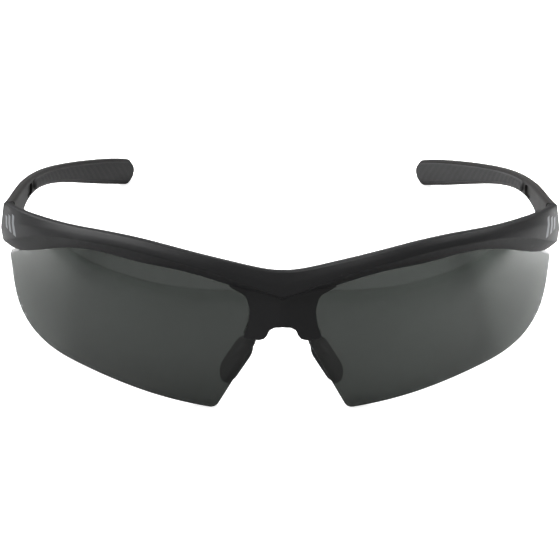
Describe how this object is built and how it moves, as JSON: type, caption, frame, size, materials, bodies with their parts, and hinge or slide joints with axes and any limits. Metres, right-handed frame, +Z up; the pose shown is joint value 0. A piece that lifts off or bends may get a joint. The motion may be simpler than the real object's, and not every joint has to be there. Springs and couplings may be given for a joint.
{
  "type": "safety glasses",
  "caption": "Wrap-around half-frame safety glasses with smoke lenses, folding temples with soft grips and bendable nose pads.",
  "frame": {"origin": "centre of the bounding box in plan, on the level that the lenses and temple tips rest on", "axes": "+X to the wearer's left, +Y from the front to the temple tips, +Z up; the front faces -Y"},
  "size_m": [0.1476, 0.1473, 0.0465],
  "materials": {
    "frame_plastic": "satin black moulded nylon",
    "lens": "polished smoke polycarbonate",
    "grip_rubber": "matte dark grey soft rubber with fine ridges",
    "pad_rubber": "matte black soft rubber",
    "screw_steel": "bright stainless steel",
    "pad_wire": "annealed steel wire"
  },
  "bodies": {
    "front": {"front_frame": "frame_plastic", "left_lens": "lens", "right_lens": "lens", "left_hinge_screw": "screw_steel", "right_hinge_screw": "screw_steel"},
    "left_arm": {"left_temple": "frame_plastic", "left_temple_grip": "grip_rubber"},
    "right_arm": {"right_temple": "frame_plastic", "right_temple_grip": "grip_rubber"},
    "left_pad": {"left_nose_pad": "pad_rubber", "left_pad_wire": "pad_wire"},
    "right_pad": {"right_nose_pad": "pad_rubber", "right_pad_wire": "pad_wire"}
  },
  "joints": [
    {"name": "left_temple_fold", "type": "hinge", "parent": "front", "child": "left_arm", "pos_m": [0.069, -0.03397, 0.03607], "axis": [0, 0.2168, 0.9762], "range_deg": [0, 90]},
    {"name": "right_temple_fold", "type": "hinge", "parent": "front", "child": "right_arm", "pos_m": [-0.069, -0.03397, 0.03607], "axis": [0, -0.2168, -0.9762], "range_deg": [0, 77]},
    {"name": "left_pad_bend", "type": "hinge", "parent": "front", "child": "left_pad", "pos_m": [0.0076, -0.06664, 0.02102], "axis": [0.2506, 0.0524, -0.9667], "range_deg": [-12, 12]},
    {"name": "right_pad_bend", "type": "hinge", "parent": "front", "child": "right_pad", "pos_m": [-0.0076, -0.06664, 0.02102], "axis": [0.2506, -0.0524, 0.9667], "range_deg": [-12, 12]}
  ]
}
